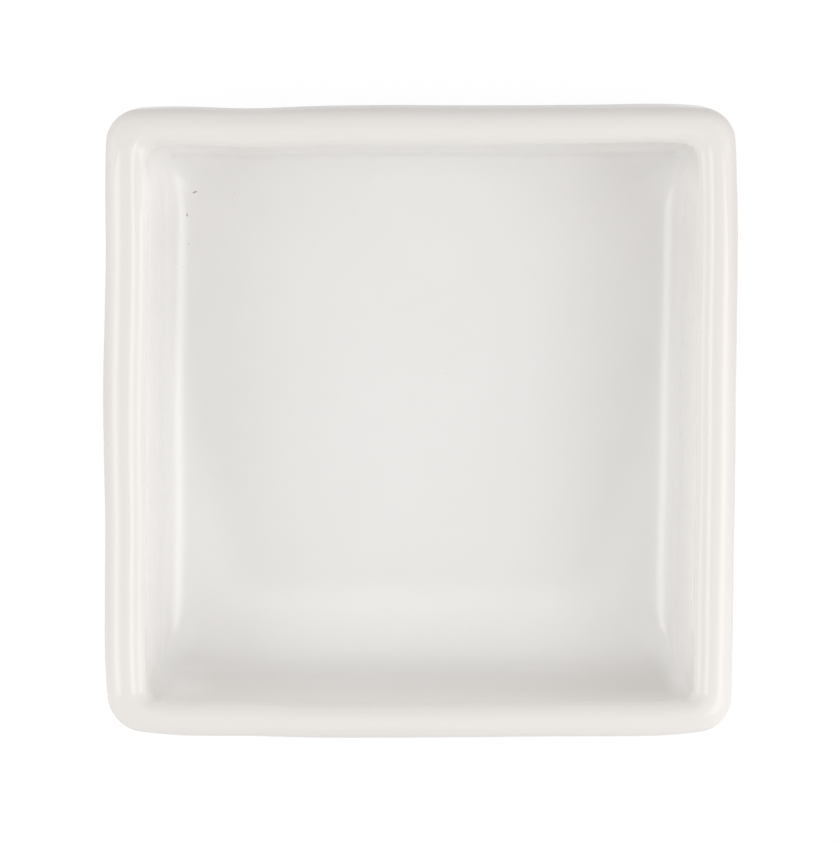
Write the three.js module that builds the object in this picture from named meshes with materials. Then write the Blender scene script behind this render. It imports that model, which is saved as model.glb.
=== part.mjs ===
// A small square porcelain dish: a cast body with drafted walls, a thick round lip and a bare foot
// ring, under a skin of fired glaze. Millimetres, +Z up. The origin is the middle of the plane that
// the foot stands on. Sizes are those of the glazed dish.

import * as THREE from "three";

// Overall sizes
const RIM_WIDTH = 90; // across the lip, from the middle of one side to the middle of the other
const HEIGHT = 26.5; // table to the crown of the lip
const SIDE_RADIUS = 3000; // plan radius of the slight outward bow of each side

// Walls and floor
const LIP_INSIDE = 2.3; // radius of the lip on the side of the well
const LIP_OUTSIDE = 2.9; // radius of the lip on the outside
const INNER_DRAFT = 8.8; // degrees that the well opens upwards
const OUTER_DRAFT = 0.5; // degrees that the outside opens upwards
const FLOOR_THICKNESS = 4.1; // well to recess, glaze included
const FLOOR_FILLET = 4.8; // hollow between the floor of the well and the inner wall
const HEEL_RADIUS = 3.5; // round between the outer wall and the underside

// Foot ring
const FOOT_HEIGHT = 1.8; // table to the underside outside the ring
const FOOT_INSET = 6; // lip to the outer edge of the bare ring
const FOOT_WIDTH = 3; // of the bare ring
const FOOT_DRAFT = 12; // degrees that the ring narrows towards the table
const FOOT_EDGE = 0.4; // rounding of the bare ring's edges
const FOOT_COVE = 0.5; // hollow where the ring meets the underside
const RECESS_DEPTH = 1.4; // table to the panel inside the ring

// Plan radius of the corners
const FLOOR_CORNER = 4.8;
const WELL_CORNER = 3.2;
const CROWN_CORNER = 4;
const OUTER_CORNER = 4.8;
const FOOT_CORNER = 4;
const RECESS_CORNER = 2.4;

// Glaze
const GLAZE = 0.35; // thickness of the fired skin
const GLAZE_LINE = 0.65; // table to the edge where the glaze was wiped off the foot

// Facets
const FACET_SAG = 0.025; // most that a facet of the section lies off its arc
const SIDE_STEPS = 4; // facets along a side in plan
const CORNER_STEPS = 6; // facets round a corner in plan

const glazeWhite = new THREE.MeshStandardMaterial({ color: 0xebe7e3, roughness: 0.08, metalness: 0 });
const recessWhite = new THREE.MeshStandardMaterial({ color: 0xe8e5df, roughness: 0.12, metalness: 0 });
const bareClay = new THREE.MeshStandardMaterial({ color: 0xe5ddcf, roughness: 0.75, metalness: 0 });

// The section is drawn with x as the half-width at mid side and y as the height. It is a chain of
// arcs joined by straight legs, and each arc is given by the directions of its surface normal.
const facing = (degrees) => {
  const angle = THREE.MathUtils.degToRad(degrees);
  return new THREE.Vector2(Math.cos(angle), Math.sin(angle));
};
const UP = 90;
const DOWN = -90;

// The straight leg, point . normal = distance, that an arc runs into where it faces that way.
function legFrom(centre, radius, degrees) {
  const normal = facing(degrees);
  return { normal, distance: centre.dot(normal) + radius };
}

// The centre, at a given height, of an arc that runs into a leg.
function centreBeside({ normal, distance }, radius, height) {
  return new THREE.Vector2((distance - radius - height * normal.y) / normal.x, height);
}

// The stations of an arc. A surface point is centre + radius * normal, so a hollow arc has a
// negative radius. The plan radius of the corners eases from the leg before to the leg after.
function arc(centre, radius, from, to, cornerBefore, cornerAfter) {
  const sweep = THREE.MathUtils.degToRad(Math.abs(to - from));
  const step = 2 * Math.acos(1 - FACET_SAG / Math.abs(radius));
  const steps = Math.ceil(sweep / step);
  return Array.from({ length: steps + 1 }, (_, i) => {
    const t = i / steps;
    const normal = facing(THREE.MathUtils.lerp(from, to, t));
    const point = normal.clone().multiplyScalar(radius).add(centre);
    const corner = THREE.MathUtils.lerp(cornerBefore, cornerAfter, THREE.MathUtils.smoothstep(t, 0, 1));
    return { point, normal, corner, side: SIDE_RADIUS };
  });
}

// The station on the leg that runs on from another station, at a given height.
function stationAt(height, { point, normal, corner, side }) {
  const along = new THREE.Vector2(normal.y, -normal.x);
  const run = (height - point.y) / along.y;
  return { point: along.multiplyScalar(run).add(point), normal, corner, side };
}

// The face of the clay lies a glaze thickness behind the glazed face.
function clayUnder(stations) {
  return stations.map(({ point, normal, corner, side }) => ({
    point: normal.clone().multiplyScalar(-GLAZE).add(point),
    normal,
    corner: corner - GLAZE * normal.x,
    side: side - GLAZE * normal.x,
  }));
}

// One ring of the plan: four shallow side arcs that run smoothly into four corner arcs.
function planRing({ point, corner, side }) {
  const sideCentre = point.x - side;
  const reach = side - corner;
  const cornerCentre = (sideCentre + Math.sqrt(2 * reach ** 2 - sideCentre ** 2)) / 2;
  const sideTurn = Math.atan2(cornerCentre, cornerCentre - sideCentre);
  const cornerTurn = Math.PI / 2 - 2 * sideTurn;
  const ring = [];
  for (let quarter = 0; quarter < 4; quarter++) {
    const points = [];
    for (let i = 0; i < SIDE_STEPS; i++) {
      const angle = sideTurn * ((2 * i) / SIDE_STEPS - 1);
      points.push(new THREE.Vector3(sideCentre + side * Math.cos(angle), side * Math.sin(angle), point.y));
    }
    for (let i = 0; i < CORNER_STEPS; i++) {
      const angle = sideTurn + (cornerTurn * i) / CORNER_STEPS;
      const x = cornerCentre + corner * Math.cos(angle);
      const y = cornerCentre + corner * Math.sin(angle);
      points.push(new THREE.Vector3(x, y, point.y));
    }
    const turn = new THREE.Matrix4().makeRotationZ((quarter * Math.PI) / 2);
    ring.push(...points.map((p) => p.applyMatrix4(turn)));
  }
  return ring;
}

// The two triangles of a four-cornered cell. It is split along its shorter diagonal, so two faces
// that share their rings match whichever way their profiles run.
function splitCell(vertices, a, b, c, d) {
  const acrossFirst = vertices[a].distanceTo(vertices[c]) <= vertices[b].distanceTo(vertices[d]);
  return acrossFirst ? [a, b, c, a, c, d] : [a, b, d, b, c, d];
}

// A solid swept round the square plan, as a lathe sweeps round a circle. The profile runs from the
// axis at the top, outwards and down, to the axis at the bottom.
function squareLathe(profile) {
  const rings = profile.map(planRing);
  const count = rings[0].length;
  const vertices = rings.flat();
  const top = vertices.push(new THREE.Vector3(0, 0, profile[0].point.y)) - 1;
  const bottom = vertices.push(new THREE.Vector3(0, 0, profile.at(-1).point.y)) - 1;
  const last = (rings.length - 1) * count;
  const index = [];
  for (let j = 0; j < count; j++) {
    const next = (j + 1) % count;
    index.push(top, j, next);
    for (let row = 0; row < last; row += count) {
      const below = row + count;
      index.push(...splitCell(vertices, row + j, below + j, below + next, row + next));
    }
    index.push(last + j, bottom, last + next);
  }
  const geometry = new THREE.BufferGeometry().setFromPoints(vertices);
  geometry.setIndex(index);
  geometry.computeVertexNormals();
  return geometry;
}

// Lip: rounded over from its crown to both sides, where it runs into the walls
const crownReach = RIM_WIDTH / 2 - LIP_OUTSIDE;
const insideCentre = new THREE.Vector2(crownReach, HEIGHT - LIP_INSIDE);
const outsideCentre = new THREE.Vector2(crownReach, HEIGHT - LIP_OUTSIDE);
const innerFacing = 180 - INNER_DRAFT;
const outerFacing = -OUTER_DRAFT;
const lip = [
  ...arc(insideCentre, LIP_INSIDE, innerFacing, UP, WELL_CORNER, CROWN_CORNER),
  ...arc(outsideCentre, LIP_OUTSIDE, UP, outerFacing, CROWN_CORNER, OUTER_CORNER).slice(1),
];

// Well: the floor hollows up into the inner wall
const innerWall = legFrom(insideCentre, LIP_INSIDE, innerFacing);
const floorLevel = RECESS_DEPTH + FLOOR_THICKNESS;
const filletCentre = centreBeside(innerWall, -FLOOR_FILLET, floorLevel + FLOOR_FILLET);
const floorFillet = arc(filletCentre, -FLOOR_FILLET, UP, innerFacing, FLOOR_CORNER, WELL_CORNER);

// Heel: the outer wall rounds in to the underside
const outerWall = legFrom(outsideCentre, LIP_OUTSIDE, outerFacing);
const heelCentre = centreBeside(outerWall, HEEL_RADIUS, FOOT_HEIGHT + HEEL_RADIUS);
const heel = arc(heelCentre, HEEL_RADIUS, outerFacing, DOWN, OUTER_CORNER, FOOT_CORNER);

// Foot ring: bare clay, flat underneath, with rounded edges
const footOuterEdge = new THREE.Vector2(RIM_WIDTH / 2 - FOOT_INSET - FOOT_EDGE, FOOT_EDGE);
const footInnerEdge = new THREE.Vector2(RIM_WIDTH / 2 - FOOT_INSET - FOOT_WIDTH + FOOT_EDGE, FOOT_EDGE);
const footOuterFacing = -FOOT_DRAFT;
const footInnerFacing = -180 + FOOT_DRAFT;
const bareFoot = [
  ...arc(footOuterEdge, FOOT_EDGE, footOuterFacing, DOWN, FOOT_CORNER, FOOT_CORNER),
  ...arc(footInnerEdge, FOOT_EDGE, DOWN, footInnerFacing, RECESS_CORNER, RECESS_CORNER),
];

// Coves: the glaze runs down both sides of the ring as far as the glaze line
const footOuterSide = legFrom(footOuterEdge, FOOT_EDGE + GLAZE, footOuterFacing);
const outerCoveCentre = centreBeside(footOuterSide, -FOOT_COVE, FOOT_HEIGHT - FOOT_COVE);
const outerCove = arc(
  outerCoveCentre, -FOOT_COVE, DOWN, footOuterFacing, FOOT_CORNER, FOOT_CORNER + GLAZE,
);
const footInnerSide = legFrom(footInnerEdge, FOOT_EDGE + GLAZE, footInnerFacing);
const recessCoveCentre = centreBeside(footInnerSide, -FOOT_COVE, RECESS_DEPTH - FOOT_COVE);
const recessCove = arc(
  recessCoveCentre, -FOOT_COVE, footInnerFacing, DOWN, RECESS_CORNER - GLAZE, RECESS_CORNER,
);

// The two glazed faces, either side of the bare ring, and the clay behind them
const coatFace = [...floorFillet, ...lip, ...heel, ...outerCove, stationAt(GLAZE_LINE, outerCove.at(-1))];
const baseFace = [stationAt(GLAZE_LINE, recessCove[0]), ...recessCove];
const clayUnderCoat = clayUnder(coatFace);
const clayUnderBase = clayUnder(baseFace);

const porcelainBody = new THREE.Mesh(
  squareLathe([...clayUnderCoat, ...bareFoot, ...clayUnderBase]),
  bareClay,
);
porcelainBody.name = "porcelain_body";

const glazeCoat = new THREE.Mesh(squareLathe([...coatFace, ...clayUnderCoat.toReversed()]), glazeWhite);
glazeCoat.name = "glaze_coat";

const baseGlaze = new THREE.Mesh(squareLathe([...clayUnderBase.toReversed(), ...baseFace]), recessWhite);
baseGlaze.name = "base_glaze";

const squareDish = new THREE.Group();
squareDish.add(porcelainBody, glazeCoat, baseGlaze);

export default squareDish;
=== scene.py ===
# A small square dish of white glazed porcelain, seen from almost straight above.
import math

import bmesh
import bpy
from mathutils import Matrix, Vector


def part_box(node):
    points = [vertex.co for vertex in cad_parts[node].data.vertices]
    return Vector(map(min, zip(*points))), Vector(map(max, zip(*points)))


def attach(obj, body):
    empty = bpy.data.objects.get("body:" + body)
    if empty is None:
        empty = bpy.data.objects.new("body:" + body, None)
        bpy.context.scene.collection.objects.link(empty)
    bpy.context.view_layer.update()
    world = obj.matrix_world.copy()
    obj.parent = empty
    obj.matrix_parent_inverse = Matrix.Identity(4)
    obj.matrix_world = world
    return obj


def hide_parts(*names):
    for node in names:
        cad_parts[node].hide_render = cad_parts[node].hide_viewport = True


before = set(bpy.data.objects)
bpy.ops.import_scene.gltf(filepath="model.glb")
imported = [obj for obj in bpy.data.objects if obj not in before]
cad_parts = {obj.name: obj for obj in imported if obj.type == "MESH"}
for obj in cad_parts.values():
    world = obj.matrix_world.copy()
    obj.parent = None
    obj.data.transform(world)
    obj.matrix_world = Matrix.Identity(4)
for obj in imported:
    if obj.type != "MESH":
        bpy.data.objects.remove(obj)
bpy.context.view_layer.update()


# Porcelain body
# One casting of white clay, poured in a plaster mould and fired: floor, drafted walls, round lip
# and foot ring in one piece. It is lofted through rounded squares from the floor of the well,
# over the lip and under the heel, to the recess. Only the foot ring stays bare of glaze.
mm = 0.001
clay_low, clay_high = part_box("porcelain_body")
coat_low, coat_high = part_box("glaze_coat")
glaze_depth = coat_high.x - clay_high.x
glaze_line = coat_low.z
recess_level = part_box("base_glaze")[1].z

# The section of the clay: the glazed dish less its glaze, with slopes in degrees. On the left and
# right the lip falls to a shallow ledge and a bead. At the front and back it is plain, and the
# hollow round the floor is wider.
well_level = 5.5 * mm - glaze_depth
under_level = 1.8 * mm + glaze_depth
lip_inside = 2.3 * mm - glaze_depth
lip_outside = 2.9 * mm - glaze_depth
ledge_hollow = 3.1 * mm + glaze_depth
bead_radius = 1.35 * mm - glaze_depth
plain_width = 2.9 * mm - glaze_depth
plain_height = 3.4 * mm - glaze_depth
floor_fillet = 4.8 * mm + glaze_depth
wide_fillet = 7 * mm + glaze_depth
heel_radius = 3.5 * mm - glaze_depth
foot_inset = 6 * mm
foot_width = 3 * mm
foot_edge = 0.4 * mm
foot_crown = 0.02 * mm
foot_cove = 0.5 * mm + glaze_depth
under_rise = 0.05 * mm
lip_slope = 44
ledge_slope = 29
inner_draft = 5.8
outer_draft = 0.5
foot_draft = 12

# The radius of the corners seen from above. Those of the upper well are tighter at the front.
floor_corner = 4.8 * mm
well_corner = 2.4 * mm + glaze_depth
ledge_corner = 2.6 * mm
crown_corner = 4 * mm
outer_corner = 4.8 * mm - glaze_depth
foot_corner = 4 * mm
recess_corner = 2.4 * mm
tighter_by = 1.1 * mm
tight_level = 9 * mm
tight_rise = 9 * mm

# How finely the loft is cut. The flat floor and recess shrink to their middles by these shares.
corner_steps = 6
side_cuts = 7
wall_step = 4 * mm
panel_shares = (0.9, 0.78, 0.71, 0.6, 0.33)
straight = 1e-3
UP, DOWN = 90, -90


def facing(degrees):
    """A direction in the section: x is out from the middle, y is up."""
    return Vector((math.cos(math.radians(degrees)), math.sin(math.radians(degrees))))


def beside(centre, radius, degrees, next_radius, height):
    """The centre, at a height, of an arc that shares a straight wall with the arc before it."""
    out = facing(degrees)
    reach = centre.dot(out) + radius - next_radius
    return Vector(((reach - height * out.y) / out.x, height))


def arc(centre, radius, first, last, corner_first, corner_last, steps):
    """The rings of an arc of the section, as half-width, height and corner radius.
    A hollow arc has a negative radius."""
    rings = []
    for i in range(steps + 1):
        t = i / steps
        point = centre + radius * facing(first + (last - first) * t)
        ease = t * t * (3 - 2 * t)
        rings.append((point.x, point.y, corner_first + (corner_last - corner_first) * ease))
    return rings


crown = Vector((clay_high.x - lip_outside, clay_high.z))
inner_lip = crown - Vector((0, lip_inside))
outer_lip = crown - Vector((0, lip_outside))
lip_facing = UP + lip_slope
ledge_facing = UP + ledge_slope
inner_facing = 180 - inner_draft
outer_facing = -outer_draft
ledge = inner_lip + (lip_inside + ledge_hollow) * facing(lip_facing)
bead = ledge - (ledge_hollow + bead_radius) * facing(ledge_facing)
fillet_centre = beside(bead, bead_radius, inner_facing, -floor_fillet, well_level + floor_fillet)
wide_centre = beside(bead, bead_radius, inner_facing, -wide_fillet, well_level + wide_fillet)
heel_centre = beside(outer_lip, lip_outside, outer_facing, heel_radius, under_level + heel_radius)
foot_outer = Vector((coat_high.x - foot_inset - foot_edge, foot_edge + foot_crown))
foot_inner = Vector((coat_high.x - foot_inset - foot_width + foot_edge, foot_edge + foot_crown))
foot_middle = (foot_outer.x + foot_inner.x) / 2
cove_level = under_level + under_rise
cove_centre = beside(foot_outer, foot_edge, -foot_draft, -foot_cove, cove_level - foot_cove)
recess_centre = beside(foot_inner, foot_edge, foot_draft - 180, -foot_cove, recess_level - foot_cove)

clay_rings = [
    *arc(fillet_centre, -floor_fillet, UP, inner_facing, floor_corner, well_corner, 6),
    *arc(bead, bead_radius, inner_facing, ledge_facing, well_corner, ledge_corner, 4),
    *arc(ledge, -ledge_hollow, ledge_facing, lip_facing, ledge_corner, ledge_corner, 3)[1:],
    *arc(inner_lip, lip_inside, lip_facing, UP, ledge_corner, crown_corner, 4)[1:],
    *arc(outer_lip, lip_outside, UP, outer_facing, crown_corner, outer_corner, 6)[1:],
    *arc(heel_centre, heel_radius, outer_facing, DOWN, outer_corner, foot_corner, 6),
    *arc(cove_centre, -foot_cove, DOWN, -foot_draft, foot_corner, foot_corner, 4),
    *arc(foot_outer, foot_edge, -foot_draft, DOWN, foot_corner, foot_corner, 3),
    (foot_middle, 0, (foot_corner + recess_corner) / 2),
    *arc(foot_inner, foot_edge, DOWN, foot_draft - 180, recess_corner, recess_corner, 3),
    *arc(recess_centre, -foot_cove, foot_draft - 180, DOWN, recess_corner, recess_corner, 4),
]


def share_of(value, whole):
    """How much of the whole a value is, held between 0 and 1."""
    return min(1, max(0, value / whole))


def end_half_width(half_width, height):
    """The half-width of a ring at the front and the back of the dish. A sponge rounded the ledge
    off the lip there, and the hollow round the floor is wider."""
    if half_width >= crown.x or height < well_level - glaze_depth:
        return half_width
    rise = 1 - (crown.y - height) / plain_height
    if rise > 0:
        return crown.x - plain_width * math.sqrt(max(0, 1 - rise * rise))
    drop = (wide_centre.y - height) / wide_fillet
    return min(half_width, wide_centre.x + wide_fillet * math.sqrt(max(0, 1 - drop * drop)))


def front_corner(half_width, height, corner):
    """The corner radius of a ring at the front, where the upper well turns more tightly."""
    up_wall = share_of(height - tight_level, tight_rise)
    inward = share_of(crown.x - half_width, plain_width)
    return corner - tighter_by * up_wall * inward


def select_only(piece):
    bpy.ops.object.select_all(action="DESELECT")
    piece.select_set(True)
    bpy.context.view_layer.objects.active = piece


def select_rings(piece, *numbers):
    bpy.ops.mesh.select_all(action="DESELECT")
    for number in numbers:
        piece.vertex_groups.active_index = number
        bpy.ops.object.vertex_group_select()


def apply_modifier(piece, kind, **settings):
    modifier = piece.modifiers.new(kind.lower(), kind)
    for name, value in settings.items():
        setattr(modifier, name, value)
    select_only(piece)
    bpy.ops.object.modifier_apply(modifier=modifier.name)


# Each ring starts as a square whose corners are rounded, and is kept as a vertex group. Finished
# rings are hidden while the next is shaped, and all are then bridged into one wall.
bpy.ops.object.select_all(action="DESELECT")
bpy.ops.object.add(type="MESH")
clay = bpy.context.object
clay.name = clay.data.name = "clay_body"
bpy.ops.object.mode_set(mode="EDIT")
bpy.ops.mesh.select_mode(type="VERT")
for half_width, height, corner in clay_rings:
    bpy.ops.mesh.primitive_plane_add(size=2 * half_width, location=(0, 0, height))
    for side, radius in ((1, corner), (-1, front_corner(half_width, height, corner))):
        bpy.ops.mesh.select_all(action="DESELECT")
        ring_mesh = bmesh.from_edit_mesh(clay.data)
        for vertex in ring_mesh.verts:
            vertex.select = not vertex.hide and vertex.co.y * side > 0
        ring_mesh.select_flush_mode()
        bmesh.update_edit_mesh(clay.data)
        bpy.ops.mesh.bevel(offset=radius, segments=corner_steps, affect="VERTICES", clamp_overlap=False)
    bpy.ops.mesh.select_all(action="SELECT")
    bpy.ops.transform.resize(value=(1, end_half_width(half_width, height) / half_width, 1))
    bpy.ops.object.vertex_group_assign_new()
    bpy.ops.mesh.delete(type="ONLY_FACE")
    bpy.ops.mesh.select_all(action="SELECT")
    bpy.ops.mesh.hide()

bpy.ops.mesh.reveal(select=False)
bpy.ops.mesh.select_mode(type="EDGE")
bpy.ops.mesh.select_all(action="DESELECT")
ring_mesh = bmesh.from_edit_mesh(clay.data)
for edge in ring_mesh.edges:
    along = edge.verts[1].co - edge.verts[0].co
    edge.select = min(abs(along.x), abs(along.y)) < straight * along.length
bmesh.update_edit_mesh(clay.data)
bpy.ops.mesh.subdivide(number_cuts=side_cuts)

bpy.ops.mesh.select_mode(type="VERT")
for number, (upper, lower) in enumerate(zip(clay_rings, clay_rings[1:])):
    select_rings(clay, number, number + 1)
    cuts = int(math.dist(upper[:2], lower[:2]) / wall_step)
    bpy.ops.mesh.bridge_edge_loops(number_cuts=cuts, interpolation="LINEAR")
for number in (0, len(clay_rings) - 1):
    select_rings(clay, number)
    for share in panel_shares:
        bpy.ops.mesh.extrude_edges_move()
        bpy.ops.transform.resize(value=(share, share, 1))
    bpy.ops.mesh.edge_face_add()
bpy.ops.mesh.select_all(action="SELECT")
bpy.ops.mesh.normals_make_consistent(inside=False)
bpy.ops.object.mode_set(mode="OBJECT")
clay.vertex_groups.clear()
apply_modifier(clay, "SUBSURF", levels=2, render_levels=2)

# Firing drew the walls a little out of true. Each row gives how far a side stands out, in mm, at
# even steps along it: left and right from front to back, front and back from left to right. The
# drifts move what lies inside the sides, and the floor turns a little against the rim.
left_warp = (-0.5, 0.03, 0.04, -0.04, 0.1, 0.1, -0.14, -0.32, -0.28, -0.38)
right_warp = (-0.42, -0.3, -0.24, -0.13, -0.02, 0.0, 0.1, 0.2, 0.08, -0.15)
front_warp = (-0.85, -0.12, -0.02, 0.28, 0.28, 0.22, 0.1, 0.02, -0.1, -0.85)
back_warp = (-0.4, -0.28, -0.58, -0.26, -0.12, -0.14, -0.14, -0.05, 0.08, -0.2)
left_drift, right_drift = 0.12, 0.5
floor_drift = 0.25
floor_turn = 0.5
rim_drift = 0.9
warp_steps = len(left_warp)
last_step = warp_steps - 1
bpy.ops.object.add(type="LATTICE", location=(0, 0, clay_high.z / 2))
cage = bpy.context.object
cage.scale = clay_high - clay_low
cage.data.points_u = warp_steps
cage.data.points_v = warp_steps
cage.data.interpolation_type_u = "KEY_CATMULL_ROM"
cage.data.interpolation_type_v = "KEY_CATMULL_ROM"
for number, point in enumerate(cage.data.points):
    column = number % warp_steps
    row = number // warp_steps % warp_steps
    right_share = column / last_step
    back_share = row / last_step
    shift_x = right_warp[row] * right_share - left_warp[row] * (1 - right_share)
    shift_y = back_warp[column] * back_share - front_warp[column] * (1 - back_share)
    if 0 < column < last_step and 0 < row < last_step:
        shift_x += left_drift + (right_drift - left_drift) * right_share
        if number < warp_steps * warp_steps:
            shift_x += floor_turn * (2 * back_share - 1)
            shift_y += floor_drift
        elif row == last_step - 1:
            shift_y += rim_drift
        elif row == 1:
            shift_y -= rim_drift
    point.co_deform.x += shift_x * mm / cage.scale.x
    point.co_deform.y += shift_y * mm / cage.scale.y
apply_modifier(clay, "LATTICE", object=cage)
bpy.data.objects.remove(cage)

# The cast walls swell very slightly here and there. The foot stays flat.
swell_height = 0.22 * mm
swell_length = 22 * mm
swell = bpy.data.textures.new("clay_swell", "CLOUDS")
swell.noise_scale = swell_length
swell.noise_depth = 1
above_foot = clay.vertex_groups.new(name="above_foot")
for vertex in clay.data.vertices:
    above_foot.add([vertex.index], share_of(vertex.co.z - under_level, heel_radius), "REPLACE")
apply_modifier(clay, "DISPLACE", texture=swell, texture_coords="LOCAL", strength=swell_height,
               vertex_group=above_foot.name)
clay.vertex_groups.clear()
select_only(clay)
bpy.ops.object.shade_smooth()


class Wire:
    """An output of a node. Sums on it add Math nodes, and node() adds any other kind."""

    def __init__(self, socket):
        self.socket = socket
        self.tree = socket.id_data

    def node(self, kind, settings, inputs, output=0):
        made = self.tree.nodes.new("ShaderNode" + kind)
        for name, value in settings.items():
            setattr(made, name, value)
        for name, value in inputs.items():
            if isinstance(value, Wire):
                self.tree.links.new(value.socket, made.inputs[name])
            else:
                made.inputs[name].default_value = value
        return Wire(made.outputs[output])

    def maths(self, operation, *values):
        return self.node("Math", {"operation": operation}, dict(enumerate(values)))

    def __add__(self, other):
        return self.maths("ADD", self, other)

    def __sub__(self, other):
        return self.maths("SUBTRACT", self, other)

    def __rsub__(self, other):
        return self.maths("SUBTRACT", other, self)

    def __mul__(self, other):
        return self.maths("MULTIPLY", self, other)

    def __truediv__(self, other):
        return self.maths("DIVIDE", self, other)

    def __pow__(self, other):
        return self.maths("POWER", self, other)

    def __abs__(self):
        return self.maths("ABSOLUTE", self)

    __radd__ = __add__
    __rmul__ = __mul__

    def above(self, least):
        """This value, or the least one where it lies under that."""
        return self.maths("MAXIMUM", self, least)

    def ease(self, start, end):
        """A mask that rises smoothly from 0 to 1 as the value goes from start to end."""
        inputs = {"Value": self, "From Min": start, "From Max": end}
        return self.node("MapRange", {"interpolation_type": "SMOOTHSTEP"}, inputs)

    def axis(self, number):
        """The x, y or z of this place, for 0, 1 or 2."""
        return self.node("SeparateXYZ", {}, {"Vector": self}, output=number)

    def tint(self, under, over):
        """One colour over another, with this value as its cover."""
        return self.node("Mix", {"data_type": "RGBA"}, {"Factor": self, 6: under, 7: over}, output=2)

    def noise(self, length, detail=2):
        """A cloudy value from 0 to 1 over this place, with clouds of about a length."""
        return self.node("TexNoise", {}, {"Vector": self, "Scale": 1 / length, "Detail": detail})

    def bump(self, height):
        """A normal whose surface rises by a height where this value goes from 0 to 1."""
        return self.node("Bump", {}, {"Height": self, "Distance": height})


def new_finish(name, ior):
    """A material, with the place on the piece and a function that joins a value to its shader."""
    material = bpy.data.materials.new(name)
    material.use_nodes = True
    nodes = material.node_tree.nodes
    shader = nodes["Principled BSDF"]
    shader.inputs["IOR"].default_value = ior
    place = Wire(nodes.new("ShaderNodeTexCoord").outputs["Object"])

    def join(socket, wire):
        material.node_tree.links.new(wire.socket, shader.inputs[socket])

    return material, place, join


def colour(red, green, blue):
    return (red, green, blue, 1)


# The bare clay is matt and finely grained, and polished grey where it scuffs on the table.
biscuit_cream = colour(0.76, 0.7, 0.6)
biscuit_pale = colour(0.8, 0.75, 0.67)
table_grey = colour(0.5, 0.47, 0.42)
biscuit_ior = 1.45
grain_length = 0.5 * mm
grain_height = 0.03 * mm
grain_share = 0.6
cloud_length = 9 * mm
pale_reach = (0.35, 0.65)
scuff_length = 2.2 * mm
scuff_reach = (0.58, 0.75)
scuff_cover = 0.4
biscuit_roughness = 0.78
scuff_polish = 0.3
biscuit, place, join = new_finish("bare_porcelain", biscuit_ior)
grain = place.noise(grain_length, detail=4)
cloud = place.noise(cloud_length)
scuffs = place.noise(scuff_length, detail=5).ease(*scuff_reach) * scuff_cover
pale = (grain * grain_share + cloud * (1 - grain_share)).ease(*pale_reach)
biscuit_shade = pale.tint(biscuit_cream, biscuit_pale)
join("Base Color", scuffs.tint(biscuit_shade, table_grey))
join("Roughness", biscuit_roughness - scuffs * scuff_polish)
join("Normal", grain.bump(grain_height))
clay.data.materials.append(biscuit)
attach(clay, "root")
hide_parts("porcelain_body")


# Glaze coat
# The dish is dipped in white glaze and the foot wiped clean before firing. The skin follows the
# clay from the well over the lip to a rounded edge just above the table. Its colour is lighter in
# the hollow round the floor and in the corners, from gathered glaze and painted light. It is
# painted darker on the front and back walls as painted shade, and is warmer over the lip.
glaze_bead = 0.5 * mm
thinnest_rise = 0.02


def glaze_skin(name, wanted):
    """A skin over the wanted faces of the clay, rounded off where it ends at the glaze line."""
    skin = bpy.data.objects.new(name, clay.data.copy())
    skin.data.name = name
    skin.data.materials.clear()
    bpy.context.collection.objects.link(skin)
    select_only(skin)
    bpy.ops.object.mode_set(mode="EDIT")
    bpy.ops.mesh.select_mode(type="FACE")
    bpy.ops.mesh.select_all(action="DESELECT")
    skin_mesh = bmesh.from_edit_mesh(skin.data)
    for face in skin_mesh.faces:
        face.select = not wanted(face.calc_center_median())
    bmesh.update_edit_mesh(skin.data)
    bpy.ops.mesh.delete(type="FACE")
    bpy.ops.object.mode_set(mode="OBJECT")
    cover = skin.vertex_groups.new(name="cover")
    for vertex in skin.data.vertices:
        rise = max(thinnest_rise, share_of(vertex.co.z - glaze_line, glaze_bead))
        cover.add([vertex.index], math.sqrt(rise * (2 - rise)), "REPLACE")
    apply_modifier(skin, "SOLIDIFY", thickness=glaze_depth, offset=1, vertex_group=cover.name)
    skin.vertex_groups.clear()
    return skin


def in_recess(spot):
    inside = max(abs(spot.x), abs(spot.y)) < foot_middle
    return inside and spot.z < recess_level + glaze_depth


coat = glaze_skin("glaze_coat_skin", lambda spot: spot.z > glaze_line and not in_recess(spot))

glaze_lip = colour(0.838, 0.803, 0.773)
glaze_well = colour(0.886, 0.871, 0.855)
# Painted shade: the darker colour of the front and back walls, which face away from the lamps.
painted_wall_shade = colour(0.744, 0.731, 0.692)
# Painted light, and partly glaze gathered thick: the lighter colour of the hollow and the corners.
pooled_glaze_and_light = colour(0.945, 0.931, 0.915)
# Partly a warm blush and partly painted shade: the darker colour of the outside of the lip.
blush_and_shade_colour = colour(0.68, 0.63, 0.605)
glaze_mottle = colour(0.78, 0.77, 0.745)
iron_brown = colour(0.3, 0.2, 0.15)
glaze_ior = 1.5

# Where the coat changes, each from its start to its full strength: out from the middle, up from
# the table, or in towards a corner.
corner_blend = 7 * mm
lip_to_well = (40.2 * mm, 38.4 * mm)
# Where the painted shade on the front and back walls comes in, up from the table and along them.
up_shaded_wall = (6 * mm, 19 * mm)
along_shaded_wall = (0, 14 * mm)
into_corner = (62 * mm, 73 * mm)
into_hollow = (30 * mm, 37 * mm)
down_hollow = (8.5 * mm, 6 * mm)
out_to_blush = (43.3 * mm, 44.9 * mm)
up_to_blush = (18 * mm, 23.5 * mm)
# The painted shade of the end walls deepens towards the front right.
front_right_gain = 40
front_right_shading = (1.2, 3)
end_shade_share = 0.43
# Leans the painted light of the hollow further out over the front of the floor.
front_light_lean = 0.3
# The cover of the blush, with painted shade that deepens towards the back.
blush_and_shade_cover = 0.53
back_shade_lean = 0.23
mottle_length = 11 * mm
mottle_reach = (0.3, 0.8)
mottle_cover = 0.1
clear_roughness = 0.03
haze_roughness = 0.03
haze_length = 7 * mm
ripple_length = 4 * mm
ripple_height = 0.02 * mm
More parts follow.
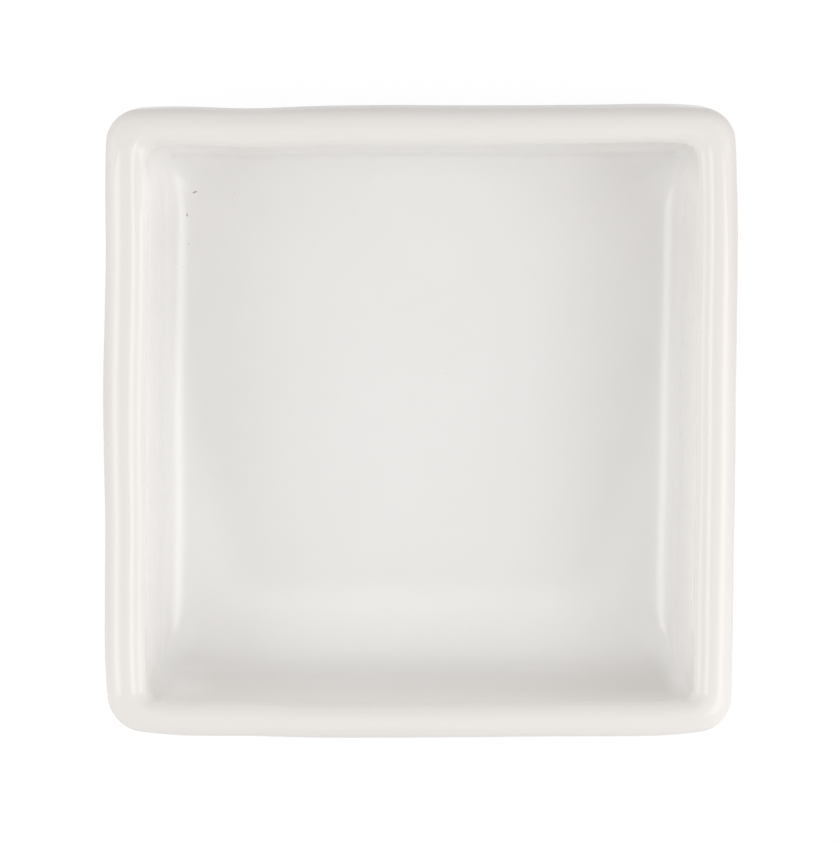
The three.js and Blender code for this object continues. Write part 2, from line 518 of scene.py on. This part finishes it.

# Painted shade darkens the front and back walls, most of all towards the front right. Painted
# light, over glaze that gathers there, lightens the hollow round the floor and the corners, and
# reaches further out at the front. The outside of the lip has a faint warm blush, darkened by
# painted shade that deepens towards the back.
glaze, place, join = new_finish("white_glaze", glaze_ior)
x, y, z = (place.axis(number) for number in range(3))
out = x.maths("SMOOTH_MAX", abs(x), abs(y), corner_blend)
in_well = out.ease(*lip_to_well)
# Painted shade on the front and back walls, darkest towards the front right.
front_right = (x - y).above(0) * front_right_gain
endwise = abs(y) - abs(x)
end_wall = z.ease(*up_shaded_wall) * (endwise + endwise * front_right).ease(*along_shaded_wall)
end_wall_shade = end_wall * (end_shade_share + front_right.ease(*front_right_shading) * (1 - end_shade_share))
# Painted light in the corners and in the hollow round the floor, where the glaze also gathers.
gathered_and_lit = (abs(x) + abs(y) - endwise.above(0) * front_right).ease(*into_corner)
pooled_and_lit = ((out - y * front_light_lean).ease(*into_hollow) * z.ease(*down_hollow)).above(gathered_and_lit)
# The warm blush of the outer lip with painted shade, darker towards the back where less light falls.
lip_side = out.ease(*out_to_blush) * z.ease(*up_to_blush)
blush_and_shade = lip_side * (blush_and_shade_cover + y / coat_high.y * back_shade_lean)
mottle = place.noise(mottle_length, detail=3).ease(*mottle_reach) * mottle_cover
shade = pooled_and_lit.tint(end_wall_shade.tint(glaze_well, painted_wall_shade), pooled_glaze_and_light)
shade = in_well.tint(glaze_lip, shade)
shade = blush_and_shade.tint(shade, blush_and_shade_colour)
shade = mottle.tint(shade, glaze_mottle)

# Specks of iron burnt through the glaze: x, y and radius in mm, and how dark each one is.
specks = (
    (-32.83, 32.04, 0.17, 0.75), (-32.62, 32.11, 0.17, 0.85), (-32.42, 32.18, 0.16, 0.6),
    (-33.79, 28.9, 0.15, 0.7), (-33.79, 28.68, 0.16, 0.75), (-33.53, 24.56, 0.16, 0.3),
    (-34.44, 21.24, 0.14, 0.22), (-33.07, 33.91, 0.13, 0.2), (-26.88, 31.81, 0.15, 0.2),
    (3.93, 5.78, 0.16, 0.15),
)
speck_core = 0.4
for speck_x, speck_y, radius, cover in specks:
    reach = ((x - speck_x * mm) ** 2 + (y - speck_y * mm) ** 2) ** 0.5
    shade = (reach.ease(radius * mm, radius * mm * speck_core) * cover).tint(shade, iron_brown)
join("Base Color", shade)
join("Roughness", clear_roughness + place.noise(haze_length) * haze_roughness)
join("Normal", place.noise(ripple_length).bump(ripple_height))
coat.data.materials.append(glaze)
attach(coat, "root")
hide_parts("glaze_coat")


# Base glaze
# The same white glaze in the recess under the dish, left there by the dip when the foot ring round
# it is wiped clean. It fires a little greyer and cloudier than the coat.
recess_white = colour(0.8, 0.785, 0.755)
recess_grey = colour(0.72, 0.7, 0.66)
cloudy_length = 8 * mm
cloudy_reach = (0.35, 0.75)
cloudy_cover = 0.4
recess_roughness = 0.09
cloudy_roughness = 0.06
dimple_length = 3 * mm
dimple_height = 0.03 * mm
base = glaze_skin("recess_glaze_skin", lambda spot: spot.z > glaze_line and in_recess(spot))
recess_glaze, place, join = new_finish("recess_glaze", glaze_ior)
cloudy = place.noise(cloudy_length, detail=3).ease(*cloudy_reach)
join("Base Color", (cloudy * cloudy_cover).tint(recess_white, recess_grey))
join("Roughness", recess_roughness + cloudy * cloudy_roughness)
join("Normal", place.noise(dimple_length).bump(dimple_height))
base.data.materials.append(recess_glaze)
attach(base, "root")
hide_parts("base_glaze")


# Floor
# A plain sheet of white paper that runs out to the horizon and takes the dish's soft shadow. Close
# to the dish, gloss shows mostly the paper as it is lit, and further out its plain white.
floor_radius = 40
paper_white = colour(0.88, 0.88, 0.88)
plain_strength = 1.05
plain_share = 0.88
gloss_share = 0.25
clear_of_dish = (70 * mm, 110 * mm)


def background_rays(nodes):
    """Masks of the rays that see the background: from the camera, off gloss and through glass."""
    ray = nodes.new("ShaderNodeLightPath").outputs
    return (Wire(ray[f"Is {kind} Ray"]) for kind in ("Camera", "Glossy", "Transmission"))


bpy.ops.mesh.primitive_circle_add(vertices=64, radius=floor_radius, fill_type="NGON")
floor = bpy.context.object
floor.name = "floor"
paper = bpy.data.materials.new("white_paper")
paper.use_nodes = True
paper_nodes = paper.node_tree.nodes
paper_nodes.remove(paper_nodes["Principled BSDF"])
in_view, mirrored, through = background_rays(paper_nodes)
place = Wire(paper_nodes.new("ShaderNodeTexCoord").outputs["Object"])
clear = place.node("VectorMath", {"operation": "LENGTH"}, {0: place}, output=1).ease(*clear_of_dish)
seen = in_view.above(mirrored.above(through) * (gloss_share + clear * (1 - gloss_share)))
lit_paper = seen.node("BsdfDiffuse", {}, {"Color": paper_white})
plain_paper = seen.node("Emission", {}, {"Strength": plain_strength})
surface = seen.node("MixShader", {}, {0: seen * plain_share, 1: lit_paper, 2: plain_paper})
paper.node_tree.links.new(surface.socket, paper_nodes["Material Output"].inputs["Surface"])
floor.data.materials.append(paper)


# Light
# Two softboxes, left and right of the dish, each brightest across its middle. The room is pale, and
# brighter at the sides than overhead. Low down its wall is plain white where it is seen.
def softbox(name, stand, aim, width, length, radiance):
    bpy.ops.object.light_add(type="AREA", location=stand)
    lamp = bpy.context.object
    lamp.name = name
    lamp.data.shape = "RECTANGLE"
    lamp.data.size = width
    lamp.data.size_y = length
    lamp.data.energy = radiance * math.pi * width * length
    lamp.rotation_euler = (Vector(aim) - Vector(stand)).to_track_quat("-Z", "Y").to_euler()
    lamp.visible_camera = False
    lamp.data.use_nodes = True
    lamp_nodes = lamp.data.node_tree.nodes
    level = Wire(lamp_nodes.new("ShaderNodeNewGeometry").outputs["Position"]).axis(2)
    middle = stand[2]
    half_rise = length / 2 * math.cos(math.atan2(middle - aim[2], math.dist(stand[:2], aim[:2])))
    glow = level.ease(middle - half_rise, middle) * level.ease(middle + half_rise, middle)
    lamp.data.node_tree.links.new(glow.socket, lamp_nodes["Emission"].inputs["Strength"])


rim = (0, 0, coat_high.z)
softbox("right_softbox", stand=(0.296, -0.12, 0.29), aim=rim, width=0.31, length=0.42, radiance=2.05)
softbox("left_softbox", stand=(-0.316, -0.045, 0.29), aim=rim, width=0.16, length=0.42, radiance=2.1)

room_light = 0.59
side_light = 0.79
wall_top = (0.3, 0.1)
world = bpy.data.worlds.new("white_room")
bpy.context.scene.world = world
world.use_nodes = True
room = world.node_tree
backdrop = room.nodes["Background"]
towards = Wire(room.nodes.new("ShaderNodeTexCoord").outputs["Generated"])
right = towards.axis(0)
up = towards.axis(2)
in_view, mirrored, through = background_rays(room.nodes)
white_wall = in_view.above(mirrored.above(through)) * up.ease(*wall_top)
room_glow = (room_light + right * right * side_light).above(white_wall)
room.links.new(room_glow.socket, backdrop.inputs["Strength"])
backdrop.inputs["Color"].default_value = colour(1, 1, 1)


# Camera
# Far above the dish and a little behind it, so that a strip of the back wall shows.
camera_distance = 850 * mm
camera_lean = math.radians(4.6)
camera_aim = Vector((0, 0.47 * mm, coat_high.z))
bpy.ops.object.camera_add()
camera = bpy.context.object
camera.name = "camera"
camera.location = camera_aim + camera_distance * Vector((0, math.sin(camera_lean), math.cos(camera_lean)))
camera.rotation_euler = (-camera_lean, 0, 0)
camera.data.lens = 256
camera.data.sensor_width = 36
camera.data.clip_end = 200
bpy.context.scene.camera = camera
bpy.context.scene.view_settings.view_transform = "Standard"
